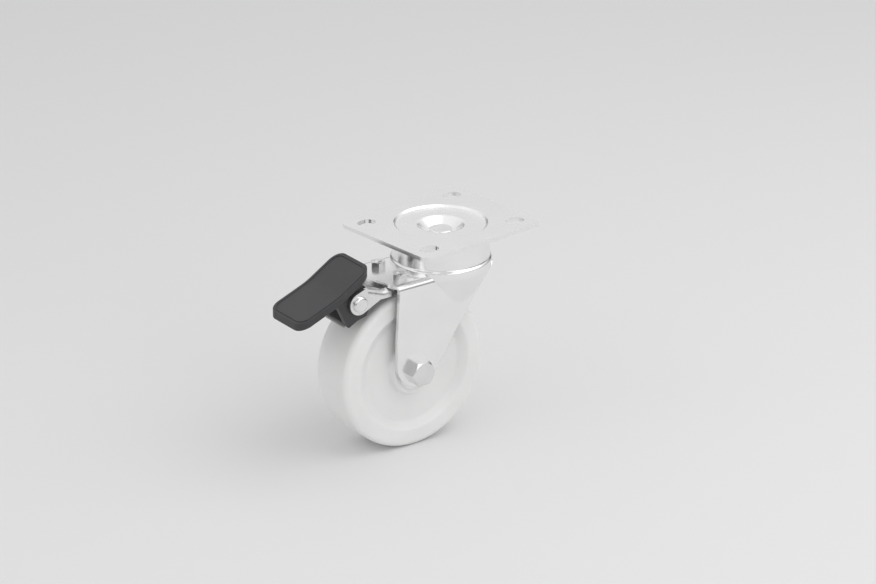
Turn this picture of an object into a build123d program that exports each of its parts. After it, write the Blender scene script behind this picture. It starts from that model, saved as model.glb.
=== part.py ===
"""Swivel plate castor with a solid nylon wheel, a pressed-steel fork and a foot pedal brake.

Frame: the origin is on the swivel axis in the top face of the mounting plate, +Z is up, +X runs
along the plate's long side. The fork trails towards -X and stands turned by swivel_at_rest, so
each of its pieces is modelled straight, in the fork's own frame, and turned when it is finished.
Sizes are millimetres.
"""

import os
from math import acos, atan2, cos, degrees, hypot, radians, sin, sqrt, tan

from build123d import *

os.makedirs("parts", exist_ok=True)

# ---------------------------------------------------------------- driving dimensions
# Mounting plate
plate_length = 115.0
plate_width = 100.0
plate_sheet = 3.0
plate_corner_radius = 9.0
hole_spacing_x = 85.0
hole_spacing_y = 70.0
hole_diameter = 11.0
hole_slot_length = 15.0
ring_radius = 33.5
ring_run = 1.6
ring_step = 1.6
recess_top_radius = 17.5
recess_floor_radius = 11.0
recess_depth = 7.0

# Swivel head: kingpin and two ball rows
kingpin_radius = 6.0
kingpin_head_radius = 8.6
kingpin_head_height = 2.0
kingpin_rivet_radius = 9.5
kingpin_rivet_height = 2.6
upper_ball_diameter = 6.35
upper_pitch_radius = 25.5
upper_ball_count = 20
lower_ball_diameter = 5.0
lower_pitch_radius = 19.5
lower_ball_count = 18
track_depth = 1.2
race_clearance = 0.02
race_hub_radius = 12.0
race_radius = 24.0
race_sheet = 3.0

# Fork
fork_sheet = 3.0
head_gap = 0.8
head_radius = 36.5
head_foot_radius = 38.0
head_hole_radius = 15.5
crown_depth = 29.0
crown_foot_rise = 4.0
crown_bend_radius = 5.0
crown_rear_reach = 57.0
crown_rear_bulge = 7.0
crown_front_margin = 0.6
fork_inner_width = 44.0
crown_inner_width = 50.0
leg_straight_depth = 75.0
leg_end_radius = 18.5
leg_end_rise = 7.0
leg_end_lag = 0.5
leg_front_reach = 26.0
skirt_depth = 58.0

# Wheel and axle
swivel_at_rest = -6.0
trail = 38.0
axle_depth = 102.0
wheel_radius = 62.5
wheel_width = 40.0
tread_edge_radius = 5.0
rim_inner_radius = 49.0
web_outer_radius = 42.0
web_recess = 4.2
boss_radius = 19.0
hub_length = 42.4
sleeve_outer_radius = 8.5
axle_diameter = 12.0
running_clearance = 0.05
washer_radius = 15.5
washer_gap = 0.1
axle_head_flats = 18.0
axle_head_height = 7.5
axle_nut_height = 8.5
axle_nut_collar = 3.5
axle_nut_collar_radius = 8.2
axle_thread_past_nut = 1.5

# Brake bracket
bracket_sheet = 2.5
bracket_half_width = 20.5
bracket_bend_radius = 5.0
bracket_front = 36.0
bracket_arm_front = 57.0
bracket_rise_start = 65.5
bracket_rear = 80.0
bracket_rise = 5.0
bracket_arm_depth = 6.7
bracket_screw_x = 47.0
bracket_screw_y = 13.8
screw_diameter = 6.0
screw_head_radius = 6.0
screw_head_height = 2.2
screw_past_nut = 0.6
nut_flats = 10.0
nut_height = 4.5
pin_x = 87.0
pin_depth = 38.0
pin_radius = 4.0
pin_head_radius = 6.0
pin_head_height = 2.8
pin_boss_radius = 8.5

# Pedal
pedal_width = 43.0
pedal_corner_radius = 9.0
pedal_wall = 2.4
pedal_skirt = 5.6
pedal_inner_x = 77.0
pedal_inner_depth = 11.5
pedal_fold_x = 106.0
pedal_fold_depth = 29.3
pedal_outer_x = 139.5
pedal_outer_depth = 42.3
pedal_fold_radius = 60.0
pedal_body_width = 34.0
pedal_cheek = 5.0
pedal_lock_angle = 34.0
lock_gap = 0.15
shoe_sheet = 2.0

# ---------------------------------------------------------------- derived places
stepped_top = -ring_step
stepped_underside = stepped_top - plate_sheet
head_floor = stepped_underside - head_gap - (upper_ball_diameter - 2 * track_depth - head_gap)
upper_ball_z = stepped_underside + track_depth - upper_ball_diameter / 2 - race_clearance
lower_ball_z = head_floor - fork_sheet + track_depth - lower_ball_diameter / 2 - race_clearance
race_top = lower_ball_z - lower_ball_diameter / 2 - race_clearance + track_depth
race_underside = race_top - race_sheet
recess_floor_underside = -recess_depth - plate_sheet
crown_underside = -crown_depth - fork_sheet
leg_inner = fork_inner_width / 2
leg_outer = leg_inner + fork_sheet
crown_inner = crown_inner_width / 2
crown_outer = crown_inner + fork_sheet
axle_radius = axle_diameter / 2
bracket_inner = bracket_half_width - bracket_sheet
axle_plane = Plane(origin=(-trail, 0, -axle_depth), x_dir=(0, 1, 0), z_dir=(1, 0, 0))
axle_line = Axis((-trail, 0, -axle_depth), (0, 1, 0))
bolt_side = Plane(origin=(-trail, -leg_outer, -axle_depth), x_dir=(1, 0, 0), z_dir=(0, -1, 0))
nut_side = Plane(origin=(-trail, leg_outer, -axle_depth), x_dir=(1, 0, 0), z_dir=(0, 1, 0))
pin_plane = Plane(origin=(-pin_x, 0, -pin_depth), x_dir=(0, 1, 0), z_dir=(1, 0, 0))
pin_line = Axis((-pin_x, 0, -pin_depth), (0, 1, 0))


def turned(part, label):
    """Give a finished fork piece its place at rest and its label."""
    placed = part.rotate(Axis.Z, swivel_at_rest)
    placed.label = label
    return placed


def hexagon_prism(plane, flats, height):
    """Add a hexagon of the given width across flats, its outer corners turned off at 30 degrees."""
    with BuildSketch(plane) as outline:
        RegularPolygon(radius=flats / 2, side_count=6, major_radius=False)
    extrude(outline.sketch, amount=height)
    corner = flats / 2 / cos(radians(30))
    face_radius = 0.475 * flats
    bevel = (corner + 1 - face_radius) * tan(radians(30))
    section = Plane(origin=plane.origin, x_dir=plane.x_dir, z_dir=-plane.y_dir)
    with BuildSketch(section) as bevelling:
        with BuildLine():
            Polyline(
                (face_radius, height),
                (corner + 1, height - bevel),
                (corner + 1, height),
                close=True,
            )
        make_face()
    revolve(bevelling.sketch, axis=Axis(plane.origin, plane.z_dir), mode=Mode.SUBTRACT)


# ---------------------------------------------------------------- mounting plate
wall_turn = atan2(recess_depth - ring_step, recess_top_radius - recess_floor_radius) / 2
step_turn = atan2(ring_step, ring_run) / 2
with BuildPart() as top_plate:
    with BuildSketch(Plane.XY.offset(-plate_sheet)):
        RectangleRounded(plate_length, plate_width, plate_corner_radius)
    extrude(amount=plate_sheet)
    Cylinder(ring_radius + ring_run, 4 * plate_sheet, mode=Mode.SUBTRACT)
    # The middle is pressed down in two steps, at the sheet's own thickness.
    with BuildSketch(Plane.XZ):
        with BuildLine():
            top_line = FilletPolyline(
                (ring_radius + ring_run, 0),
                (ring_radius, stepped_top),
                (recess_top_radius, stepped_top),
                (recess_floor_radius, -recess_depth),
                (kingpin_radius + running_clearance, -recess_depth),
                radius=[1.0, 3.0, 1.5],
            )
            low_line = FilletPolyline(
                (ring_radius + ring_run + plate_sheet * tan(step_turn), -plate_sheet),
                (ring_radius + plate_sheet * tan(step_turn), stepped_underside),
                (recess_top_radius + plate_sheet * tan(wall_turn), stepped_underside),
                (recess_floor_radius + plate_sheet * tan(wall_turn), recess_floor_underside),
                (kingpin_radius + running_clearance, recess_floor_underside),
                radius=[1.0, 1.5, 3.0],
            )
            Line(top_line @ 1, low_line @ 1)
            Polyline(
                top_line @ 0,
                (ring_radius + 2 * ring_run + plate_sheet, 0),
                (ring_radius + 2 * ring_run + plate_sheet, -plate_sheet),
                low_line @ 0,
            )
        make_face()
    revolve(axis=Axis.Z)
    # Ball track under the stepped face.
    with Locations((0, 0, upper_ball_z)):
        Torus(upper_pitch_radius, upper_ball_diameter / 2 + race_clearance, mode=Mode.SUBTRACT)
    with BuildSketch():
        with GridLocations(hole_spacing_x, hole_spacing_y, 2, 2):
            SlotOverall(hole_slot_length, hole_diameter)
    extrude(amount=-2 * plate_sheet, both=True, mode=Mode.SUBTRACT)
top_plate.part.label = "top_plate"
export_step(top_plate.part, "parts/top_plate.step")

# ---------------------------------------------------------------- kingpin
with BuildPart() as kingpin:
    with BuildSketch(Plane.XZ):
        with BuildLine():
            FilletPolyline(
                (0, -recess_depth + kingpin_head_height),
                (kingpin_head_radius, -recess_depth + kingpin_head_height),
                (kingpin_head_radius, -recess_depth),
                (kingpin_radius, -recess_depth),
                (kingpin_radius, race_underside),
                (kingpin_rivet_radius, race_underside),
                (kingpin_rivet_radius - 1, race_underside - kingpin_rivet_height),
                (0, race_underside - kingpin_rivet_height),
                radius=[0.6, 0, 0, 0, 0, 0.8],
            )
            Line((0, race_underside - kingpin_rivet_height), (0, -recess_depth + kingpin_head_height))
        make_face()
    revolve(axis=Axis.Z)
kingpin.part.label = "kingpin"
export_step(kingpin.part, "parts/kingpin.step")

# ---------------------------------------------------------------- lower race
with BuildPart() as lower_race:
    with BuildSketch(Plane.XZ):
        with BuildLine():
            FilletPolyline(
                (kingpin_radius + running_clearance, recess_floor_underside),
                (race_hub_radius, recess_floor_underside),
                (race_hub_radius, race_top),
                (race_radius, race_top),
                (race_radius, race_underside),
                (kingpin_radius + running_clearance, race_underside),
                radius=[0.5, 1.0, 0.8, 0.8],
            )
            Line(
                (kingpin_radius + running_clearance, race_underside),
                (kingpin_radius + running_clearance, recess_floor_underside),
            )
        make_face()
    revolve(axis=Axis.Z)
    with Locations((0, 0, lower_ball_z)):
        Torus(lower_pitch_radius, lower_ball_diameter / 2 + race_clearance, mode=Mode.SUBTRACT)
lower_race.part.label = "lower_race"
export_step(lower_race.part, "parts/lower_race.step")

# ---------------------------------------------------------------- ball rows
with BuildPart() as upper_balls:
    with Locations((0, 0, upper_ball_z)):
        with PolarLocations(upper_pitch_radius, upper_ball_count):
            Sphere(upper_ball_diameter / 2)
upper_balls.part.label = "upper_balls"
export_step(upper_balls.part, "parts/upper_balls.step")

with BuildPart() as lower_balls:
    with Locations((0, 0, lower_ball_z)):
        with PolarLocations(lower_pitch_radius, lower_ball_count):
            Sphere(lower_ball_diameter / 2)
lower_balls.part.label = "lower_balls"
export_step(lower_balls.part, "parts/lower_balls.step")

# ---------------------------------------------------------------- fork
# One pressing: the outer form less the same form drawn in by the sheet's thickness.
head_top = stepped_underside - head_gap
rim_inner = upper_pitch_radius + upper_ball_diameter / 2 + 2.0
leg_floor = -axle_depth - 2 * leg_end_radius
leg_end_x = -trail - leg_end_lag
leg_end_z = -axle_depth + leg_end_rise
front_corner = (leg_front_reach, crown_underside)
front_run = hypot(front_corner[0] - leg_end_x, front_corner[1] - leg_end_z)
front_angle = atan2(front_corner[1] - leg_end_z, front_corner[0] - leg_end_x) - acos(
    leg_end_radius / front_run
)
lowest_angle = radians(-135)


def leg_end_point(angle):
    """A point of the round lower end of the fork leg, seen from the side."""
    return (leg_end_x + leg_end_radius * cos(angle), leg_end_z + leg_end_radius * sin(angle))


def leg_section(crown_half, leg_half, top, bend):
    """End view of the two legs and the crown between them, down to below the leg's end."""
    with BuildSketch(Plane.YZ) as section:
        with BuildLine():
            right = FilletPolyline(
                (0, top),
                (crown_half, top),
                (crown_half, top - 2 * fork_sheet),
                (leg_half, -leg_straight_depth),
                (leg_half, leg_floor),
                (0, leg_floor),
                radius=[bend, 20.0, 40.0, 0],
            )
            mirror(right, about=Plane.YZ)
        make_face()
    return section.sketch


def head_section(crest, crest_radii, wall, foot, draw):
    """Half section of the swivel head and the shoulders below it, for one face of the sheet."""
    foot_z = -crown_depth + crown_foot_rise - draw * tan(radians(45) / 2)
    with BuildSketch(Plane.XZ) as section:
        with BuildLine():
            side = FilletPolyline(
                (0, crest[0][1]),
                *crest,
                (wall, foot_z),
                (foot, foot_z - 1.8),
                (foot, crown_underside),
                (leg_outer - draw, -skirt_depth),
                (0, -skirt_depth),
                radius=[*crest_radii, 1.2, 1.2, 4.0, 0],
            )
            Line(side @ 1, side @ 0)
        make_face()
    return section.sketch


legs_outside = leg_section(crown_outer, leg_outer, -crown_depth, crown_bend_radius)
legs_inside = leg_section(crown_inner, leg_inner, crown_underside, crown_bend_radius - fork_sheet)
head_outside = head_section(
    [(rim_inner, head_floor), (rim_inner + 1.8, head_top), (head_radius, head_top)],
    [1.0, 0.6, 2.2],
    head_radius,
    head_foot_radius,
    0,
)
head_inside = head_section(
    [
        (rim_inner + 1.2, head_floor - fork_sheet),
        (head_radius - fork_sheet, head_top - fork_sheet),
    ],
    [0.6, 0.5],
    head_radius - fork_sheet,
    head_foot_radius - fork_sheet,
    fork_sheet,
)
with BuildPart() as fork:
    extrude(legs_outside, amount=2 * pedal_outer_x, both=True)
    revolve(head_outside, axis=Axis.Z)
    extrude(legs_inside, amount=2 * pedal_outer_x, both=True, mode=Mode.SUBTRACT)
    revolve(head_inside, axis=Axis.Z, mode=Mode.SUBTRACT)
    # Plan of the crown: a round front about the swivel head, and a bulged rear edge.
    with BuildSketch(Plane.XY):
        Circle(head_foot_radius + crown_front_margin)
        with BuildLine():
            Polyline(
                (-crown_rear_reach, -crown_outer),
                (0, -crown_outer),
                (0, crown_outer),
                (-crown_rear_reach, crown_outer),
            )
            ThreePointArc(
                (-crown_rear_reach, crown_outer),
                (-crown_rear_reach - crown_rear_bulge, 0),
                (-crown_rear_reach, -crown_outer),
            )
        make_face()
    extrude(amount=2 * axle_depth, both=True, mode=Mode.INTERSECT)
    # Side view of the legs: upright at the rear, raked at the front, round at the end.
    with BuildSketch(Plane.XZ):
        with BuildLine():
            Polyline(
                leg_end_point(front_angle),
                front_corner,
                (2 * head_radius, crown_underside),
                (2 * head_radius, plate_sheet),
                (-2 * crown_rear_reach, plate_sheet),
                (-2 * crown_rear_reach, crown_underside),
                (leg_end_x - leg_end_radius, crown_underside),
                (leg_end_x - leg_end_radius, leg_end_z),
            )
            ThreePointArc(
                (leg_end_x - leg_end_radius, leg_end_z),
                leg_end_point(lowest_angle),
                leg_end_point(front_angle),
            )
        make_face()
    extrude(amount=2 * head_radius, both=True, mode=Mode.INTERSECT)
    # Hole for the kingpin's hub, the two ball tracks, the axle and the bracket screws.
    Cylinder(head_hole_radius, 2 * crown_depth, mode=Mode.SUBTRACT)
    with Locations((0, 0, upper_ball_z)):
        Torus(upper_pitch_radius, upper_ball_diameter / 2 + race_clearance, mode=Mode.SUBTRACT)
    with Locations((0, 0, lower_ball_z)):
        Torus(lower_pitch_radius, lower_ball_diameter / 2 + race_clearance, mode=Mode.SUBTRACT)
    with BuildSketch(Plane.XZ):
        with Locations((-trail, -axle_depth)):
            Circle(axle_radius + running_clearance)
    extrude(amount=2 * head_radius, both=True, mode=Mode.SUBTRACT)
    with BuildSketch(Plane.XY.offset(-crown_depth)):
        with Locations((-bracket_screw_x, 0)):
            with GridLocations(0, 2 * bracket_screw_y, 1, 2):
                Circle(screw_diameter / 2 + running_clearance)
    extrude(amount=2 * fork_sheet, both=True, mode=Mode.SUBTRACT)
export_step(turned(fork.part, "fork"), "parts/fork.step")

# ---------------------------------------------------------------- wheel
tread_half = wheel_width / 2
web_half = tread_half - web_recess
with BuildPart() as wheel:
    with BuildSketch(axle_plane):
        with BuildLine():
            half = FilletPolyline(
                (0, wheel_radius),
                (tread_half, wheel_radius),
                (tread_half, rim_inner_radius),
                (web_half, web_outer_radius),
                (web_half, boss_radius + 2),
                (hub_length / 2, boss_radius),
                (hub_length / 2, sleeve_outer_radius + running_clearance),
                (0, sleeve_outer_radius + running_clearance),
                radius=[tread_edge_radius, 2.5, 5.0, 2.0, 0.8, 0.5],
            )
            mirror(half, about=Plane.YZ)
        make_face()
    revolve(axis=axle_line)
export_step(turned(wheel.part, "wheel"), "parts/wheel.step")

# ---------------------------------------------------------------- axle sleeve and thrust washers
with BuildPart() as axle_sleeve:
    with BuildSketch(axle_plane):
        with Locations((0, (sleeve_outer_radius + axle_radius + running_clearance) / 2)):
            Rectangle(fork_inner_width, sleeve_outer_radius - axle_radius - running_clearance)
    revolve(axis=axle_line)
export_step(turned(axle_sleeve.part, "axle_sleeve"), "parts/axle_sleeve.step")

washer_sheet = (fork_inner_width - hub_length) / 2 - washer_gap
washer_outer = Plane(origin=(-trail, leg_inner, -axle_depth), x_dir=(1, 0, 0), z_dir=(0, -1, 0))
with BuildPart() as thrust_washer_left:
    with BuildSketch(washer_outer):
        Circle(washer_radius)
        Circle(sleeve_outer_radius + running_clearance, mode=Mode.SUBTRACT)
    extrude(amount=washer_sheet)
export_step(turned(thrust_washer_left.part, "thrust_washer_left"), "parts/thrust_washer_left.step")

with BuildPart() as thrust_washer_right:
    mirror(thrust_washer_left.part, about=Plane.XZ)
export_step(turned(thrust_washer_right.part, "thrust_washer_right"), "parts/thrust_washer_right.step")

# ---------------------------------------------------------------- axle bolt and lock nut
grip = 2 * leg_outer
thread_end = grip + axle_nut_height + axle_nut_collar + axle_thread_past_nut
with BuildPart() as axle_bolt:
    hexagon_prism(bolt_side, axle_head_flats, axle_head_height)
    with BuildSketch(bolt_side):
        Circle(axle_radius)
    extrude(amount=-thread_end)
    chamfer(axle_bolt.faces().sort_by(Axis.Y)[-1].edges(), length=1.0)
export_step(turned(axle_bolt.part, "axle_bolt"), "parts/axle_bolt.step")

with BuildPart() as axle_nut:
    hexagon_prism(nut_side, axle_head_flats, axle_nut_height)
    with BuildSketch(nut_side.offset(axle_nut_height)):
        Circle(axle_nut_collar_radius)
    extrude(amount=axle_nut_collar)
    fillet(axle_nut.faces().sort_by(Axis.Y)[-1].edges(), radius=1.5)
    with BuildSketch(nut_side):
        Circle(axle_radius + running_clearance)
    extrude(amount=thread_end, mode=Mode.SUBTRACT)
export_step(turned(axle_nut.part, "axle_nut"), "parts/axle_nut.step")

# ---------------------------------------------------------------- brake bracket
web_top = crown_underside
web_rear_top = web_top + bracket_rise
arm_floor = web_top - bracket_arm_depth
boss_low_angle = radians(-62)
boss_high_angle = radians(112)


def boss_point(angle):
    """A point of the round end of a bracket arm, seen from the side."""
    return (-pin_x + pin_boss_radius * cos(angle), -pin_depth + pin_boss_radius * sin(angle))


def folded_block(half_width, drop, bend, reach):
    """The web's block between two faces at half_width, lowered by drop, its long edges rounded."""
    slope = (web_rear_top - web_top) / (bracket_rear - bracket_rise_start)
    kink = bracket_rise_start + drop * tan(atan2(slope, 1) / 2)
    rear = bracket_rear + reach
    rear_z = web_top - drop + slope * (rear - kink)
    depth = 2 * bracket_bend_radius
    with BuildPart(mode=Mode.PRIVATE) as block:
        with BuildSketch(Plane.XZ):
            with BuildLine():
                Polyline(
                    (-bracket_arm_front + reach, web_top - drop),
                    (-kink, web_top - drop),
                    (-rear, rear_z),
                    (-rear, rear_z - depth),
                    (-kink, web_top - drop - depth),
                    (-bracket_arm_front + reach, web_top - drop - depth),
                    close=True,
                )
            make_face()
        extrude(amount=half_width, both=True)
        long_edges = block.edges().filter_by(
            lambda e: e.center().Z > web_top - drop - 0.01
            and abs(abs(e.center().Y) - half_width) < 0.01
            and e.bounding_box().size.X > 1
        )
        fillet(long_edges, radius=bend)
    return block.part


with BuildPart() as brake_bracket:
    add(folded_block(bracket_half_width, 0, bracket_bend_radius, 0))
    add(
        folded_block(bracket_inner, bracket_sheet, bracket_bend_radius - bracket_sheet, 1),
        mode=Mode.SUBTRACT,
    )
    # Flat tongue under the fork's crown, for the two screws.
    with BuildSketch(Plane.XY.offset(web_top)):
        with Locations((-(bracket_front + bracket_arm_front) / 2, 0)):
            Rectangle(bracket_arm_front - bracket_front, 2 * bracket_half_width - 1)
    extrude(amount=-bracket_sheet)
    # Two arms, each a flat plate with a round end about the pedal pin.
    with BuildSketch(Plane.XZ):
        with BuildLine():
            Polyline(
                boss_point(boss_high_angle),
                (-bracket_rear - bracket_sheet, web_rear_top - 0.4),
                (-bracket_rear, web_rear_top - 0.4),
                (-bracket_rear, web_rear_top - bracket_bend_radius),
                (-bracket_rise_start, web_top - bracket_bend_radius),
                (-bracket_arm_front, web_top - bracket_bend_radius),
                (-bracket_arm_front, arm_floor),
                (-bracket_rise_start - bracket_arm_depth / 2, arm_floor),
                boss_point(boss_low_angle),
            )
            ThreePointArc(
                boss_point(boss_low_angle), boss_point(radians(-180)), boss_point(boss_high_angle)
            )
        make_face()
    extrude(amount=bracket_half_width, both=True)
    # Open between the arms, below the web and behind it.
    with BuildSketch(Plane.XZ):
        with BuildLine():
            Polyline(
                (0, web_top - bracket_bend_radius),
                (-bracket_rise_start, web_top - bracket_bend_radius),
                (-bracket_rear, web_rear_top - bracket_bend_radius),
                (-bracket_rear, 0),
                (-pedal_outer_x, 0),
                (-pedal_outer_x, -axle_depth),
                (0, -axle_depth),
                close=True,
            )
        make_face()
    extrude(amount=bracket_inner, both=True, mode=Mode.SUBTRACT)
    # The block's skirts end where the arms' lower edges do.
    with BuildSketch(Plane.XZ):
        with BuildLine():
            Polyline(
                (0, arm_floor),
                (-bracket_rise_start - bracket_arm_depth / 2, arm_floor),
                boss_point(boss_low_angle),
                (-bracket_rear, -axle_depth),
                (0, -axle_depth),
                close=True,
            )
        make_face()
    extrude(amount=2 * bracket_half_width, both=True, mode=Mode.SUBTRACT)
    with BuildSketch(Plane.XZ):
        with Locations((-pin_x, -pin_depth)):
            Circle(pin_radius + running_clearance)
    extrude(amount=2 * bracket_half_width, both=True, mode=Mode.SUBTRACT)
    with BuildSketch(Plane.XY.offset(web_top)):
        with Locations((-bracket_screw_x, 0)):
            with GridLocations(0, 2 * bracket_screw_y, 1, 2):
                Circle(screw_diameter / 2 + running_clearance)
    extrude(amount=-2 * bracket_sheet, mode=Mode.SUBTRACT)
export_step(turned(brake_bracket.part, "brake_bracket"), "parts/brake_bracket.step")

# ---------------------------------------------------------------- bracket screws and nuts
screw_seat = web_top - bracket_sheet
screw_top = -crown_depth + nut_height + screw_past_nut
for side, side_name in ((1, "left"), (-1, "right")):
    place = (-bracket_screw_x, side * bracket_screw_y)
    with BuildPart() as bracket_screw:
        with BuildSketch(Plane.XY.offset(screw_seat)):
            with Locations(place):
                Circle(screw_head_radius)
        extrude(amount=-screw_head_height)
        fillet(bracket_screw.faces().sort_by(Axis.Z)[0].edges(), radius=1.4)
        with BuildSketch(Plane.XY.offset(screw_seat)):
            with Locations(place):
                Circle(screw_diameter / 2)
        extrude(amount=screw_top - screw_seat)
        chamfer(bracket_screw.faces().sort_by(Axis.Z)[-1].edges(), length=0.6)
    screw_name = f"bracket_screw_{side_name}"
    export_step(turned(bracket_screw.part, screw_name), f"parts/{screw_name}.step")

    with BuildPart() as bracket_nut:
        seat = Plane(origin=(*place, -crown_depth), z_dir=(0, 0, 1))
        hexagon_prism(seat, nut_flats, nut_height)
        with BuildSketch(seat):
            Circle(screw_diameter / 2 + running_clearance)
        extrude(amount=2 * nut_height, mode=Mode.SUBTRACT)
    nut_name = f"bracket_nut_{side_name}"
    export_step(turned(bracket_nut.part, nut_name), f"parts/{nut_name}.step")

# ---------------------------------------------------------------- pedal pin
pin_head_end = bracket_half_width + pin_head_height
with BuildPart() as pedal_pin:
    with BuildSketch(pin_plane):
        with BuildLine():
            FilletPolyline(
                (0, pin_radius),
                (bracket_half_width, pin_radius),
                (bracket_half_width, pin_head_radius),
                (pin_head_end, pin_head_radius),
                (pin_head_end, 0),
                radius=[0, 0, 2.0],
            )
            mirror(about=Plane.YZ)
            Line((pin_head_end, 0), (-pin_head_end, 0))
        make_face()
    revolve(axis=pin_line)
export_step(turned(pedal_pin.part, "pedal_pin"), "parts/pedal_pin.step")

# ---------------------------------------------------------------- pedal
inner_edge = (-pedal_inner_x, -pedal_inner_depth)
fold_edge = (-pedal_fold_x, -pedal_fold_depth)
outer_edge = (-pedal_outer_x, -pedal_outer_depth)
wheel_angle = atan2(pin_depth - axle_depth, pin_x - trail)
wheel_distance = hypot(pin_depth - axle_depth, pin_x - trail)
corner_angle = radians(-114)
locked_swing = corner_angle + radians(pedal_lock_angle) - wheel_angle
shoe_reach = wheel_distance * cos(locked_swing) - sqrt(
    (wheel_radius + lock_gap) ** 2 - (wheel_distance * sin(locked_swing)) ** 2
)
body_corner = shoe_reach - 0.8


def from_pin(x, z):
    """A side-view point of the pedal, given from its pin."""
    return (-pin_x + x, -pin_depth + z)


with BuildPart() as pedal:
    with BuildSketch(Plane.XZ):
        with BuildLine():
            tread_line = FilletPolyline(inner_edge, fold_edge, outer_edge, radius=pedal_fold_radius)
            skirt_line = FilletPolyline(
                (inner_edge[0], inner_edge[1] - pedal_skirt),
                (fold_edge[0], fold_edge[1] - pedal_skirt),
                (outer_edge[0], outer_edge[1] - pedal_skirt),
                radius=pedal_fold_radius,
            )
            Line(tread_line @ 0, skirt_line @ 0)
            Line(tread_line @ 1, skirt_line @ 1)
        make_face()
    extrude(amount=pedal_width / 2, both=True)
    with BuildSketch(Plane.XY):
        with Locations(((inner_edge[0] + outer_edge[0]) / 2, 0)):
            RectangleRounded(pedal_outer_x - pedal_inner_x, pedal_width, pedal_corner_radius)
    extrude(amount=2 * pedal_outer_depth, both=True, mode=Mode.INTERSECT)
    # Hollow underside, with a wall all round.
    with BuildPart(mode=Mode.PRIVATE) as hollow:
        with BuildSketch(Plane.XY):
            with Locations(((inner_edge[0] + outer_edge[0]) / 2, 0)):
                RectangleRounded(
                    pedal_outer_x - pedal_inner_x - 2 * pedal_wall,
                    pedal_width - 2 * pedal_wall,
                    pedal_corner_radius - pedal_wall,
                )
        extrude(amount=2 * pedal_outer_depth, both=True)
        with BuildSketch(Plane.XZ):
            with BuildLine():
                low = FilletPolyline(
                    (0, inner_edge[1] - pedal_wall),
                    (inner_edge[0], inner_edge[1] - pedal_wall),
                    (fold_edge[0], fold_edge[1] - pedal_wall),
                    (outer_edge[0], outer_edge[1] - pedal_wall),
                    (-2 * pedal_outer_x, outer_edge[1] - pedal_wall),
                    radius=[0, pedal_fold_radius, 0],
                )
                Polyline(low @ 1, (-2 * pedal_outer_x, -axle_depth), (0, -axle_depth), low @ 0)
            make_face()
        extrude(amount=pedal_width, both=True, mode=Mode.INTERSECT)
    add(hollow.part, mode=Mode.SUBTRACT)
    # Body that carries the pin, between the bracket's arms.
    with BuildSketch(Plane.XZ):
        with BuildLine():
            FilletPolyline(
                from_pin(4.0, 19.0),
                from_pin(-20.0, 6.0),
                from_pin(-11.8, -10.5),
                from_pin(body_corner * cos(corner_angle), body_corner * sin(corner_angle)),
                from_pin(0.5, -14.0),
                from_pin(7.6, -12.5),
                from_pin(10.0, -9.0),
                from_pin(6.5, 4.0),
                radius=[0.5, 2.0, 1.0, 1.5, 1.5, 2.0, 4.0, 1.0],
                close=True,
            )
        make_face()
    extrude(amount=pedal_body_width / 2, both=True)
    # Pocket in the rear of the body, and the seat of the steel shoe under it.
    with BuildSketch(Plane.XZ):
        with BuildLine():
            Polyline(
                from_pin(-16.5, 1.5),
                from_pin(-24.0, -6.0),
                from_pin(-16.0, -18.0),
                from_pin(-10.6, -16.0),
                from_pin(-5.5, -8.0),
                from_pin(-12.0, 3.5),
                close=True,
            )
        make_face()
        with BuildLine():
            Polyline(
                from_pin(-14.0, -26.0),
                from_pin(-5.5, -14.5),
                from_pin(0.3, -12.0),
                from_pin(7.0, -10.5),
                from_pin(14.0, -18.0),
                close=True,
            )
        make_face()
    extrude(amount=pedal_body_width / 2 - pedal_cheek, both=True, mode=Mode.SUBTRACT)
    with BuildSketch(Plane.XZ):
        with Locations((-pin_x, -pin_depth)):
            Circle(pin_radius + 2 * running_clearance)
    extrude(amount=pedal_width, both=True, mode=Mode.SUBTRACT)
export_step(turned(pedal.part, "pedal"), "parts/pedal.step")

# ---------------------------------------------------------------- brake shoe
with BuildPart() as brake_shoe:
    with BuildSketch(Plane.XZ):
        with BuildLine():
            Polyline(
                from_pin(shoe_reach * cos(corner_angle), shoe_reach * sin(corner_angle)),
                from_pin(-6.8, -16.3),
                from_pin(-5.5, -14.5),
                from_pin(0.3, -12.0),
                from_pin(7.0, -10.5),
                from_pin(7.4, -12.4),
                from_pin(0.6, -14.0),
                close=True,
            )
        make_face()
    extrude(amount=pedal_body_width / 2 - pedal_cheek, both=True)
export_step(turned(brake_shoe.part, "brake_shoe"), "parts/brake_shoe.step")
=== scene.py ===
"""Dresses the swivel plate castor: zinc-plated steel, a white nylon wheel and a black foot pedal.

All lengths are metres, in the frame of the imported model: the origin is on the swivel axis in the
top face of the mounting plate, and Z is up.
"""

import logging
import math
from dataclasses import dataclass, field
from enum import Enum
from typing import Dict, List, Sequence, Tuple

import bpy
from mathutils import Matrix, Vector


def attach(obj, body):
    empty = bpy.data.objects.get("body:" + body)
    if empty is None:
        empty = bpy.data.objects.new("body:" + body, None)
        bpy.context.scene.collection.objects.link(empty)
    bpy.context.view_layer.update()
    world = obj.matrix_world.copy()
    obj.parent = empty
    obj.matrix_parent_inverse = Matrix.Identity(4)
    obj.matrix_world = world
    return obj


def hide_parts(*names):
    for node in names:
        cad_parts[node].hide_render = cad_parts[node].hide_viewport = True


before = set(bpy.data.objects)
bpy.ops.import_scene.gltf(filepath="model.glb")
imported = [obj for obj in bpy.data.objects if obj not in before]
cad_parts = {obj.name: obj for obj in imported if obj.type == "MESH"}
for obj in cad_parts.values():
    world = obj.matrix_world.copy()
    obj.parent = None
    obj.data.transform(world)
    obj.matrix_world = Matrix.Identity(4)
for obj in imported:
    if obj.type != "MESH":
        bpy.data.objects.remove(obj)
log = logging.getLogger("castor")

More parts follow.
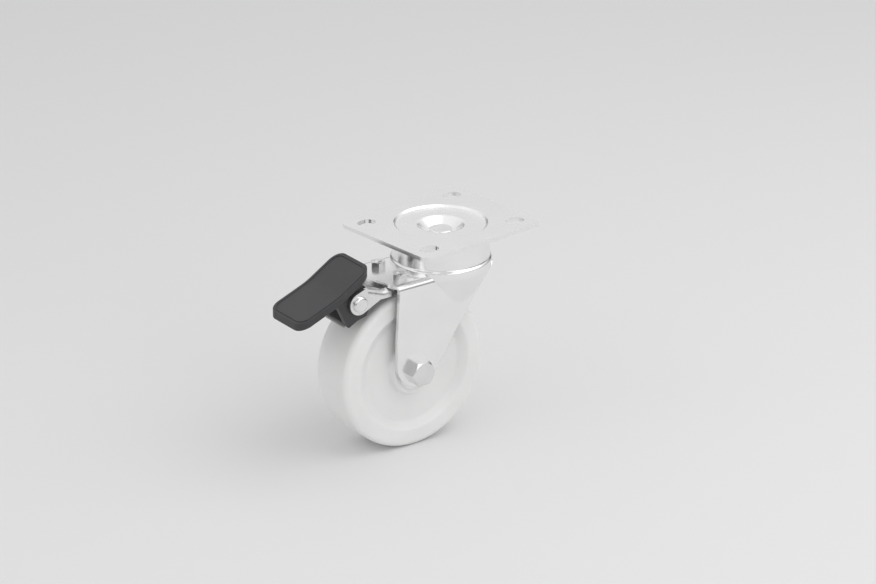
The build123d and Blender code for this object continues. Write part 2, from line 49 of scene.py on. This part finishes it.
Colour = Tuple[float, float, float, float]
Socket = Tuple[str, str, object]
MM = 0.001
FORK_TURN = math.radians(-6.0)
AXLE_PLACE = (-37.79 * MM, 3.97 * MM, -102.0 * MM)
FLOOR_HEIGHT = -164.5 * MM
MERGE_DISTANCE = 0.004 * MM
FLAT_ANGLE = math.radians(0.6)
SMOOTH_ANGLE = math.radians(32.0)


class Grain(Enum):
    """How a surface was finished, as the stretch of its fine marks along X, Y and Z."""

    ROLLED = (0.15, 1.0, 1.0)
    PRESSED = (1.0, 1.0, 0.35)
    EVEN = (1.0, 1.0, 1.0)


# ---------------------------------------------------------------- shared shader groups
def new_group(
    name: str, inputs: Sequence[Socket], outputs: Sequence[Tuple[str, str]]
) -> Tuple[bpy.types.NodeTree, bpy.types.Node, bpy.types.Node]:
    """Make an empty shader group with its sockets.

    Args:
        name: name of the group.
        inputs: socket name, socket kind and default value of each input.
        outputs: socket name and socket kind of each output.

    Returns:
        The group and its input and output nodes.
    """
    group = bpy.data.node_groups.new(name, "ShaderNodeTree")
    for label, kind, value in inputs:
        socket = group.interface.new_socket(name=label, in_out="INPUT", socket_type=kind)
        if value is not None:
            socket.default_value = value
    for label, kind in outputs:
        group.interface.new_socket(name=label, in_out="OUTPUT", socket_type=kind)
    entry = group.nodes.new("NodeGroupInput")
    leave = group.nodes.new("NodeGroupOutput")
    return group, entry, leave


def build_mottle_group() -> bpy.types.NodeTree:
    """Slow cloudy change of colour and roughness, as plating and moulding leave.

    Returns:
        The group, with Color and Roughness out.
    """
    group, entry, leave = new_group(
        "mottle",
        [
            ("Vector", "NodeSocketVector", None),
            ("Pale", "NodeSocketColor", (0.8, 0.8, 0.8, 1.0)),
            ("Deep", "NodeSocketColor", (0.7, 0.7, 0.7, 1.0)),
            ("Scale", "NodeSocketFloat", 40.0),
            ("Smooth", "NodeSocketFloat", 0.25),
            ("Rough", "NodeSocketFloat", 0.35),
        ],
        [("Color", "NodeSocketColor"), ("Roughness", "NodeSocketFloat")],
    )
    nodes, links = group.nodes, group.links
    cloud = nodes.new("ShaderNodeTexNoise")
    cloud.inputs["Detail"].default_value = 5.0
    cloud.inputs["Roughness"].default_value = 0.6
    links.new(entry.outputs["Vector"], cloud.inputs["Vector"])
    links.new(entry.outputs["Scale"], cloud.inputs["Scale"])
    spread = nodes.new("ShaderNodeMapRange")
    spread.inputs["From Min"].default_value = 0.3
    spread.inputs["From Max"].default_value = 0.7
    links.new(cloud.outputs["Fac"], spread.inputs["Value"])
    tint = nodes.new("ShaderNodeMix")
    tint.data_type = "RGBA"
    links.new(spread.outputs["Result"], tint.inputs["Factor"])
    links.new(entry.outputs["Deep"], tint.inputs["A"])
    links.new(entry.outputs["Pale"], tint.inputs["B"])
    links.new(tint.outputs["Result"], leave.inputs["Color"])
    gloss = nodes.new("ShaderNodeMapRange")
    links.new(cloud.outputs["Fac"], gloss.inputs["Value"])
    gloss.inputs["From Min"].default_value = 0.25
    gloss.inputs["From Max"].default_value = 0.75
    links.new(entry.outputs["Smooth"], gloss.inputs["To Min"])
    links.new(entry.outputs["Rough"], gloss.inputs["To Max"])
    links.new(gloss.outputs["Result"], leave.inputs["Roughness"])
    return group


def build_grain_group() -> bpy.types.NodeTree:
    """Fine surface relief: rolling marks, plating grain or moulded texture.

    Returns:
        The group, with Normal out.
    """
    group, entry, leave = new_group(
        "grain",
        [
            ("Vector", "NodeSocketVector", None),
            ("Stretch", "NodeSocketVector", None),
            ("Scale", "NodeSocketFloat", 900.0),
            ("Depth", "NodeSocketFloat", 0.00002),
            ("Strength", "NodeSocketFloat", 0.3),
        ],
        [("Normal", "NodeSocketVector"), ("Mask", "NodeSocketFloat")],
    )
    nodes, links = group.nodes, group.links
    stretch = nodes.new("ShaderNodeVectorMath")
    stretch.operation = "MULTIPLY"
    links.new(entry.outputs["Vector"], stretch.inputs[0])
    links.new(entry.outputs["Stretch"], stretch.inputs[1])
    fine = nodes.new("ShaderNodeTexNoise")
    fine.inputs["Detail"].default_value = 3.0
    links.new(stretch.outputs["Vector"], fine.inputs["Vector"])
    links.new(entry.outputs["Scale"], fine.inputs["Scale"])
    relief = nodes.new("ShaderNodeBump")
    links.new(entry.outputs["Strength"], relief.inputs["Strength"])
    links.new(entry.outputs["Depth"], relief.inputs["Distance"])
    links.new(fine.outputs["Fac"], relief.inputs["Height"])
    links.new(relief.outputs["Normal"], leave.inputs["Normal"])
    links.new(fine.outputs["Fac"], leave.inputs["Mask"])
    return group


def build_rings_group() -> bpy.types.NodeTree:
    """Soft concentric rings about the wheel's axle, as turned or moulded nylon shows.

    Returns:
        The group, with Mask out, between 0 and 1.
    """
    group, entry, leave = new_group(
        "rings",
        [("Vector", "NodeSocketVector", None), ("Scale", "NodeSocketFloat", 160.0)],
        [("Mask", "NodeSocketFloat")],
    )
    nodes, links = group.nodes, group.links
    centre = nodes.new("ShaderNodeVectorMath")
    centre.operation = "SUBTRACT"
    centre.inputs[1].default_value = AXLE_PLACE
    links.new(entry.outputs["Vector"], centre.inputs[0])
    axle = (-math.sin(FORK_TURN), math.cos(FORK_TURN), 0.0)
    across = nodes.new("ShaderNodeVectorMath")
    across.operation = "CROSS_PRODUCT"
    across.inputs[1].default_value = axle
    links.new(centre.outputs["Vector"], across.inputs[0])
    radius = nodes.new("ShaderNodeVectorMath")
    radius.operation = "LENGTH"
    links.new(across.outputs["Vector"], radius.inputs[0])
    ring = nodes.new("ShaderNodeTexNoise")
    ring.noise_dimensions = "1D"
    ring.inputs["Detail"].default_value = 2.0
    links.new(radius.outputs["Value"], ring.inputs["W"])
    links.new(entry.outputs["Scale"], ring.inputs["Scale"])
    links.new(ring.outputs["Fac"], leave.inputs["Mask"])
    return group


@dataclass(frozen=True)
class Groups:
    """The shader groups that more than one finish uses."""

    mottle: bpy.types.NodeTree
    grain: bpy.types.NodeTree
    rings: bpy.types.NodeTree


def start_material(name: str) -> Tuple[bpy.types.Material, bpy.types.Node, bpy.types.Node]:
    """Make a material with a plain Principled shader.

    Args:
        name: name of the material.

    Returns:
        The material, its shader and a node that gives Object coordinates.
    """
    material = bpy.data.materials.new(name)
    material.use_nodes = True
    shader = material.node_tree.nodes["Principled BSDF"]
    place = material.node_tree.nodes.new("ShaderNodeTexCoord")
    return material, shader, place


def use_group(
    material: bpy.types.Material, group: bpy.types.NodeTree, values: Dict[str, object]
) -> bpy.types.Node:
    """Place a shader group in a material with its own values.

    Args:
        material: the material that takes the group.
        group: the group to place.
        values: socket name to value.

    Returns:
        The group's node.
    """
    node = material.node_tree.nodes.new("ShaderNodeGroup")
    node.node_tree = group
    for label, value in values.items():
        node.inputs[label].default_value = value
    return node


@dataclass(frozen=True)
class MetalFinish:
    """Plated or bare steel."""

    name: str
    pale: Colour
    deep: Colour
    smooth: float
    rough: float
    grain: Grain
    mottle_scale: float = 45.0
    grain_scale: float = 1200.0
    grain_strength: float = 0.25

    def build(self, groups: Groups) -> bpy.types.Material:
        """Build the material.

        Args:
            groups: the shared shader groups.

        Returns:
            The finished material.
        """
        material, shader, place = start_material(self.name)
        links = material.node_tree.links
        mottle = use_group(
            material,
            groups.mottle,
            {
                "Pale": self.pale,
                "Deep": self.deep,
                "Scale": self.mottle_scale,
                "Smooth": self.smooth,
                "Rough": self.rough,
            },
        )
        grain = use_group(
            material,
            groups.grain,
            {
                "Stretch": self.grain.value,
                "Scale": self.grain_scale,
                "Depth": 0.00002,
                "Strength": self.grain_strength,
            },
        )
        links.new(place.outputs["Object"], mottle.inputs["Vector"])
        links.new(place.outputs["Object"], grain.inputs["Vector"])
        links.new(mottle.outputs["Color"], shader.inputs["Base Color"])
        links.new(mottle.outputs["Roughness"], shader.inputs["Roughness"])
        links.new(grain.outputs["Normal"], shader.inputs["Normal"])
        shader.inputs["Metallic"].default_value = 1.0
        return material


@dataclass(frozen=True)
class NylonFinish:
    """Natural white nylon that lets a little light in."""

    name: str
    pale: Colour
    deep: Colour
    roughness: float = 0.38
    glow: float = 0.35

    def build(self, groups: Groups) -> bpy.types.Material:
        """Build the material.

        Args:
            groups: the shared shader groups.

        Returns:
            The finished material.
        """
        material, shader, place = start_material(self.name)
        nodes, links = material.node_tree.nodes, material.node_tree.links
        rings = use_group(material, groups.rings, {"Scale": 170.0})
        mottle = use_group(
            material,
            groups.mottle,
            {
                "Pale": self.pale,
                "Deep": self.deep,
                "Scale": 22.0,
                "Smooth": self.roughness - 0.06,
                "Rough": self.roughness + 0.06,
            },
        )
        tint = nodes.new("ShaderNodeMix")
        tint.data_type = "RGBA"
        tint.inputs["B"].default_value = self.deep
        share = nodes.new("ShaderNodeMath")
        share.operation = "MULTIPLY"
        share.inputs[1].default_value = 0.5
        relief = nodes.new("ShaderNodeBump")
        relief.inputs["Strength"].default_value = 0.25
        relief.inputs["Distance"].default_value = 0.0002
        links.new(place.outputs["Object"], rings.inputs["Vector"])
        links.new(place.outputs["Object"], mottle.inputs["Vector"])
        links.new(rings.outputs["Mask"], share.inputs[0])
        links.new(share.outputs["Value"], tint.inputs["Factor"])
        links.new(mottle.outputs["Color"], tint.inputs["A"])
        links.new(tint.outputs["Result"], shader.inputs["Base Color"])
        links.new(mottle.outputs["Roughness"], shader.inputs["Roughness"])
        links.new(rings.outputs["Mask"], relief.inputs["Height"])
        links.new(relief.outputs["Normal"], shader.inputs["Normal"])
        shader.inputs["Subsurface Weight"].default_value = self.glow
        shader.inputs["Subsurface Radius"].default_value = (1.0, 0.95, 0.85)
        shader.inputs["Subsurface Scale"].default_value = 0.006
        return material


@dataclass(frozen=True)
class PlasticFinish:
    """Black moulded plastic with a fine spark texture."""

    name: str
    pale: Colour
    deep: Colour
    smooth: float
    rough: float
    grain_strength: float = 0.5

    def build(self, groups: Groups) -> bpy.types.Material:
        """Build the material.

        Args:
            groups: the shared shader groups.

        Returns:
            The finished material.
        """
        material, shader, place = start_material(self.name)
        links = material.node_tree.links
        mottle = use_group(
            material,
            groups.mottle,
            {
                "Pale": self.pale,
                "Deep": self.deep,
                "Scale": 70.0,
                "Smooth": self.smooth,
                "Rough": self.rough,
            },
        )
        grain = use_group(
            material,
            groups.grain,
            {
                "Stretch": Grain.EVEN.value,
                "Scale": 2200.0,
                "Depth": 0.00006,
                "Strength": self.grain_strength,
            },
        )
        links.new(place.outputs["Object"], mottle.inputs["Vector"])
        links.new(place.outputs["Object"], grain.inputs["Vector"])
        links.new(mottle.outputs["Color"], shader.inputs["Base Color"])
        links.new(mottle.outputs["Roughness"], shader.inputs["Roughness"])
        links.new(grain.outputs["Normal"], shader.inputs["Normal"])
        return material


# ---------------------------------------------------------------- mesh helpers
def deselect_all() -> None:
    """Leave nothing selected."""
    bpy.ops.object.select_all(action="DESELECT")


def make_active(piece: bpy.types.Object) -> None:
    """Select one piece alone and make it the active object."""
    deselect_all()
    piece.select_set(True)
    bpy.context.view_layer.objects.active = piece


def paint(piece: bpy.types.Object, material: bpy.types.Material) -> None:
    """Give every slot of a piece the same material.

    Args:
        piece: the object to dress.
        material: its finish.
    """
    if not piece.material_slots:
        piece.data.materials.append(material)
    for slot in piece.material_slots:
        slot.material = material


def softened_copy(
    node: str, name: str, edge: float, segments: int = 2, sharp: float = 38.0
) -> bpy.types.Object:
    """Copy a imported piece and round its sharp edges, as tumbling and plating leave them.

    Args:
        node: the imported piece.
        name: name of the copy.
        edge: width of the rounded edge.
        segments: steps across the rounded edge.
        sharp: angle in degrees from which an edge counts as sharp.

    Returns:
        The finished copy.
    """
    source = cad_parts[node]
    piece = source.copy()
    piece.data = source.data.copy()
    piece.name = name
    piece.parent = None
    piece.matrix_world = Matrix.Identity(4)
    bpy.context.scene.collection.objects.link(piece)
    make_active(piece)
    if piece.data.has_custom_normals:
        bpy.ops.mesh.customdata_custom_splitnormals_clear()
    bpy.ops.object.mode_set(mode="EDIT")
    bpy.ops.mesh.select_all(action="SELECT")
    bpy.ops.mesh.remove_doubles(threshold=MERGE_DISTANCE)
    bpy.ops.mesh.dissolve_limited(angle_limit=FLAT_ANGLE)
    bpy.ops.object.mode_set(mode="OBJECT")
    bevel = piece.modifiers.new("rounded edges", "BEVEL")
    bevel.width = edge
    bevel.segments = segments
    bevel.limit_method = "ANGLE"
    bevel.angle_limit = math.radians(sharp)
    bevel.use_clamp_overlap = True
    bevel.harden_normals = False
    bpy.ops.object.modifier_apply(modifier=bevel.name)
    bpy.ops.object.shade_smooth_by_angle(angle=SMOOTH_ANGLE)
    weighted = piece.modifiers.new("flat faces stay flat", "WEIGHTED_NORMAL")
    weighted.weight = 100
    weighted.keep_sharp = True
    bpy.ops.object.modifier_apply(modifier=weighted.name)
    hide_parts(node)
    return piece


def fork_point(x: float, y: float, z: float) -> Vector:
    """Turn a point in the fork's own frame, in millimetres, into the model's frame."""
    turned = Matrix.Rotation(FORK_TURN, 4, "Z") @ Vector((x, y, z))
    return turned * MM


# ---------------------------------------------------------------- sub-assemblies
@dataclass
class MountingPlate:
    """Plate, kingpin and race, which stay still."""

    edge: float = 0.35 * MM
    pieces: List[bpy.types.Object] = field(default_factory=list)

    def build(self) -> None:
        """Build the plate with its rolled edges."""
        plate = softened_copy("top_plate", "plate_sheet", self.edge)
        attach(plate, "plate")
        self.pieces = [plate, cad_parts["kingpin"]]

    def dress(
        self,
        sheet: bpy.types.Material,
        fastener: bpy.types.Material,
        race: bpy.types.Material,
    ) -> None:
        """Give the plate, the kingpin and the race their finishes.

        Args:
            sheet: finish of the plate.
            fastener: finish of the kingpin.
            race: finish of the race.
        """
        paint(self.pieces[0], sheet)
        paint(self.pieces[1], fastener)
        paint(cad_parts["lower_race"], race)


@dataclass
class Fork:
    """Pressed fork with its axle and screws."""

    pressing: str = "fork"
    fasteners: Tuple[str, ...] = (
        "axle_bolt",
        "axle_nut",
        "axle_sleeve",
        "thrust_washer_left",
        "thrust_washer_right",
        "bracket_nut_left",
        "bracket_nut_right",
        "bracket_screw_left",
        "bracket_screw_right",
    )

    def dress(self, sheet: bpy.types.Material, fastener: bpy.types.Material) -> None:
        """Give the pressing and the fasteners their finishes.

        Args:
            sheet: finish of the pressing.
            fastener: finish of the bolts, nuts, screws, sleeve and washers.
        """
        paint(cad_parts[self.pressing], sheet)
        for node in self.fasteners:
            paint(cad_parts[node], fastener)


@dataclass
class WheelSet:
    """The nylon wheel and both ball rows."""

    def dress(self, nylon: bpy.types.Material, ball: bpy.types.Material) -> None:
        """Give the wheel and the balls their finishes.

        Args:
            nylon: finish of the wheel.
            ball: finish of the balls.
        """
        paint(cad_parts["wheel"], nylon)
        for node in ("upper_balls", "lower_balls"):
            paint(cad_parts[node], ball)


@dataclass
class PedalBrake:
    """Bracket, pin, shoe and the black pedal with its raised rim."""

    inner: Tuple[float, float] = (-77.0, -11.5)
    fold: Tuple[float, float] = (-106.0, -29.3)
    outer: Tuple[float, float] = (-139.5, -42.3)
    fold_radius: float = 60.0
    width: float = 43.0
    corner_radius: float = 9.0
    rim_inset: float = 2.2
    rim_radius: float = 0.55
    pieces: List[bpy.types.Object] = field(default_factory=list)

    def tread_height(self, x: float) -> float:
        """Height of the pedal's top face at x, in millimetres, in the fork's own frame.

        Args:
            x: place along the pedal.

        Returns:
            The height of the face there.
        """
        steep = math.atan2(self.fold[1] - self.inner[1], self.fold[0] - self.inner[0])
        gentle = math.atan2(self.outer[1] - self.fold[1], self.outer[0] - self.fold[0])
        slope_in = math.tan(steep)
        slope_out = math.tan(gentle)
        turn = abs(steep - gentle)
        tangent = self.fold_radius * math.tan(turn / 2)
        first = self.fold[0] + tangent * abs(math.cos(steep))
        last = self.fold[0] - tangent * abs(math.cos(gentle))
        if x >= first:
            return self.inner[1] + slope_in * (x - self.inner[0])
        if x <= last:
            return self.fold[1] + slope_out * (x - self.fold[0])
        lean = math.atan(slope_in)
        start_height = self.inner[1] + slope_in * (first - self.inner[0])
        centre_x = first - self.fold_radius * math.sin(lean)
        centre_z = start_height + self.fold_radius * math.cos(lean)
        return centre_z - math.sqrt(self.fold_radius**2 - (x - centre_x) ** 2)

    def build(self) -> None:
        """Build the pedal and its rim, and take the bracket as packed."""
        pedal = softened_copy("pedal", "pedal_moulding", 0.8 * MM, segments=3, sharp=30.0)
        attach(pedal, "brake_pedal")
        self.pieces = [pedal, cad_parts["brake_bracket"], self.build_rim()]

    def build_rim(self) -> bpy.types.Object:
        """Build the thin raised rim that runs round the pedal's tread.

        Returns:
            The finished rim.
        """
        deselect_all()
        length = abs(self.outer[0] - self.inner[0]) - 2 * self.rim_inset
        middle = (self.outer[0] + self.inner[0]) / 2
        bpy.ops.mesh.primitive_plane_add(size=1.0, location=(middle, 0.0, 0.0))
        rim = bpy.context.active_object
        rim.name = "pedal_rim"
        rim.scale = (length, self.width - 2 * self.rim_inset, 1.0)
        bpy.ops.object.transform_apply(location=True, rotation=True, scale=True)
        bpy.ops.object.mode_set(mode="EDIT")
        bpy.ops.mesh.select_all(action="SELECT")
        bpy.ops.mesh.bevel(
            offset=self.corner_radius - self.rim_inset, segments=8, affect="VERTICES"
        )
        bpy.ops.mesh.select_all(action="SELECT")
        bpy.ops.mesh.delete(type="ONLY_FACE")
        bpy.ops.mesh.select_all(action="SELECT")
        bpy.ops.mesh.subdivide(number_cuts=11)
        bpy.ops.object.mode_set(mode="OBJECT")
        for vertex in rim.data.vertices:
            x, y = vertex.co.x, vertex.co.y
            vertex.co = fork_point(x, y, self.tread_height(x) + 0.1)
        make_active(rim)
        bpy.ops.object.convert(target="CURVE")
        rim = bpy.context.active_object
        rim.data.bevel_depth = self.rim_radius * MM
        rim.data.bevel_resolution = 3
        bpy.ops.object.convert(target="MESH")
        rim = bpy.context.active_object
        bpy.ops.object.shade_smooth()
        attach(rim, "brake_pedal")
        return rim

    def dress(
        self,
        plastic: bpy.types.Material,
        sheet: bpy.types.Material,
        fastener: bpy.types.Material,
        shoe: bpy.types.Material,
    ) -> None:
        """Give the brake's pieces their finishes.

        Args:
            plastic: finish of the pedal and its rim.
            sheet: finish of the bracket.
            fastener: finish of the pin.
            shoe: finish of the steel shoe.
        """
        paint(self.pieces[0], plastic)
        paint(self.pieces[1], sheet)
        paint(self.pieces[2], plastic)
        paint(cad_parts["pedal_pin"], fastener)
        paint(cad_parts["brake_shoe"], shoe)


@dataclass
class Studio:
    """Floor, lamps, world and camera."""

    target: Tuple[float, float, float] = (-0.03, 0.0, -0.08)
    floor_colour: Colour = (0.80, 0.80, 0.80, 1.0)
    camera_place: Tuple[float, float, float] = (-1.5723, -1.7556, 0.9275)
    camera_right: Tuple[float, float, float] = (0.7455, -0.6665, 0.0)
    camera_back: Tuple[float, float, float] = (-0.6151, -0.6880, 0.3853)
    lens: float = 140.6

    def build_floor(self) -> None:
        """Lay a pale plain floor under the wheel."""
        deselect_all()
        bpy.ops.mesh.primitive_plane_add(size=14.0, location=(0.0, 0.0, FLOOR_HEIGHT))
        floor = bpy.context.active_object
        floor.name = "studio_floor"
        material, shader, _ = start_material("studio_paper")
        shader.inputs["Base Color"].default_value = self.floor_colour
        shader.inputs["Roughness"].default_value = 0.9
        shader.inputs["Specular IOR Level"].default_value = 0.1
        paint(floor, material)

    def build_world(self) -> None:
        """Surround the object with a pale studio that darkens towards the horizon."""
        world = bpy.data.worlds.new("studio")
        bpy.context.scene.world = world
        world.use_nodes = True
        nodes, links = world.node_tree.nodes, world.node_tree.links
        nodes.clear()
        out = nodes.new("ShaderNodeOutputWorld")
        seen = nodes.new("ShaderNodeBackground")
        lit = nodes.new("ShaderNodeBackground")
        lit.inputs["Color"].default_value = (1.0, 1.0, 1.0, 1.0)
        lit.inputs["Strength"].default_value = 0.66
        place = nodes.new("ShaderNodeTexCoord")
        split = nodes.new("ShaderNodeSeparateXYZ")
        links.new(place.outputs["Generated"], split.inputs["Vector"])
        ramp = nodes.new("ShaderNodeValToRGB")
        ramp.color_ramp.elements[0].position = 0.0
        ramp.color_ramp.elements[0].color = (0.10, 0.10, 0.11, 1.0)
        ramp.color_ramp.elements[1].position = 1.0
        ramp.color_ramp.elements[1].color = (1.0, 1.0, 1.0, 1.0)
        for place_on, value in ((0.10, 0.12), (0.24, 0.55), (0.36, 0.88)):
            stop = ramp.color_ramp.elements.new(place_on)
            stop.color = (value, value, value * 1.01, 1.0)
        links.new(split.outputs["Z"], ramp.inputs["Fac"])
        links.new(ramp.outputs["Color"], seen.inputs["Color"])
        paths = nodes.new("ShaderNodeLightPath")
        sharp = nodes.new("ShaderNodeMath")
        sharp.operation = "MAXIMUM"
        links.new(paths.outputs["Is Glossy Ray"], sharp.inputs[0])
        links.new(paths.outputs["Is Transmission Ray"], sharp.inputs[1])
        either = nodes.new("ShaderNodeMath")
        either.operation = "MAXIMUM"
        links.new(sharp.outputs["Value"], either.inputs[0])
        links.new(paths.outputs["Is Camera Ray"], either.inputs[1])
        mix = nodes.new("ShaderNodeMixShader")
        links.new(either.outputs["Value"], mix.inputs["Fac"])
        links.new(lit.outputs["Background"], mix.inputs[1])
        links.new(seen.outputs["Background"], mix.inputs[2])
        links.new(mix.outputs["Shader"], out.inputs["Surface"])

    def add_lamp(self, name: str, offset: Vector, power: float, size: float) -> None:
        """Add a square soft lamp that looks at the object.

        Args:
            name: name of the lamp.
            offset: its place from the middle of the object.
            power: its power in watts.
            size: length of its side.
        """
        lamp = bpy.data.lights.new(name, "AREA")
        lamp.energy = power
        lamp.size = size
        holder = bpy.data.objects.new(name, lamp)
        holder.location = Vector(self.target) + offset
        holder.rotation_euler = (-offset).to_track_quat("-Z", "Y").to_euler()
        bpy.context.scene.collection.objects.link(holder)

    def build_lamps(self) -> None:
        """Hang a large lamp above on the right and two weaker ones on the front side."""
        right = Vector(self.camera_right)
        back = Vector(self.camera_back)
        front = Vector((back.x, back.y, 0.0)).normalized()
        up = Vector((0.0, 0.0, 1.0))
        self.add_lamp("key_lamp", right * 0.8 + up * 1.35 + front * 0.1, 8.5, 1.6)
        self.add_lamp("fill_lamp", -right * 1.2 + up * 0.9 + front * 0.9, 3.5, 1.6)
        self.add_lamp("front_lamp", right * 0.9 + up * 0.5 + front * 1.3, 2.5, 1.0)

    def build_camera(self) -> None:
        """Stand the camera at its measured place."""
        right = Vector(self.camera_right).normalized()
        back = Vector(self.camera_back).normalized()
        up = back.cross(right).normalized()
        camera = bpy.data.cameras.new("studio_camera")
        camera.lens = self.lens
        camera.sensor_width = 36.0
        camera.clip_end = 50.0
        holder = bpy.data.objects.new("studio_camera", camera)
        axes = Matrix((right, up, back)).transposed().to_4x4()
        holder.matrix_world = Matrix.Translation(Vector(self.camera_place)) @ axes
        bpy.context.scene.collection.objects.link(holder)
        bpy.context.scene.camera = holder
        bpy.context.scene.view_settings.view_transform = "Standard"


def build_finishes(groups: Groups) -> Dict[str, bpy.types.Material]:
    """Build each finish once.

    Args:
        groups: the shared shader groups.

    Returns:
        Finish name to material.
    """
    even, rolled, pressed = Grain.EVEN, Grain.ROLLED, Grain.PRESSED
    finishes = (
        MetalFinish(
            "zinc_plate_sheet", (0.90, 0.90, 0.895, 1), (0.86, 0.86, 0.86, 1), 0.24, 0.30, rolled
        ),
        MetalFinish(
            "zinc_pressing", (0.92, 0.92, 0.915, 1), (0.88, 0.88, 0.88, 1), 0.20, 0.26, pressed
        ),
        MetalFinish(
            "zinc_bracket", (0.84, 0.84, 0.84, 1), (0.76, 0.76, 0.76, 1), 0.22, 0.32, rolled
        ),
        MetalFinish(
            "zinc_fastener", (0.84, 0.84, 0.84, 1), (0.76, 0.76, 0.76, 1), 0.16, 0.26, even, 90.0
        ),
        MetalFinish(
            "ball_steel", (0.80, 0.80, 0.81, 1), (0.74, 0.74, 0.75, 1), 0.08, 0.14, even, 60.0
        ),
        MetalFinish(
            "shoe_steel", (0.50, 0.50, 0.50, 1), (0.36, 0.35, 0.34, 1), 0.38, 0.52, rolled, 80.0
        ),
        NylonFinish("white_nylon", (0.86, 0.86, 0.855, 1), (0.80, 0.80, 0.795, 1)),
        PlasticFinish(
            "black_moulding", (0.050, 0.050, 0.053, 1), (0.034, 0.034, 0.037, 1), 0.42, 0.56
        ),
    )
    return {finish.name: finish.build(groups) for finish in finishes}


def main() -> None:
    """Build and dress the castor, then light it and stand the camera."""
    logging.basicConfig(level=logging.INFO, format="%(name)s: %(message)s")
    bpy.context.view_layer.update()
    groups = Groups(build_mottle_group(), build_grain_group(), build_rings_group())
    finishes = build_finishes(groups)
    plate = MountingPlate()
    plate.build()
    plate.dress(finishes["zinc_plate_sheet"], finishes["zinc_fastener"], finishes["ball_steel"])
    log.info("mounting plate: %d pieces", len(plate.pieces))
    fork = Fork()
    fork.dress(finishes["zinc_pressing"], finishes["zinc_fastener"])
    log.info("fork: %d pieces", 1 + len(fork.fasteners))
    WheelSet().dress(finishes["white_nylon"], finishes["ball_steel"])
    brake = PedalBrake()
    brake.build()
    brake.dress(
        finishes["black_moulding"],
        finishes["zinc_bracket"],
        finishes["zinc_fastener"],
        finishes["shoe_steel"],
    )
    log.info("pedal brake: %d pieces", len(brake.pieces))
    studio = Studio()
    studio.build_floor()
    studio.build_world()
    studio.build_lamps()
    studio.build_camera()


if __name__ == "__main__":
    main()
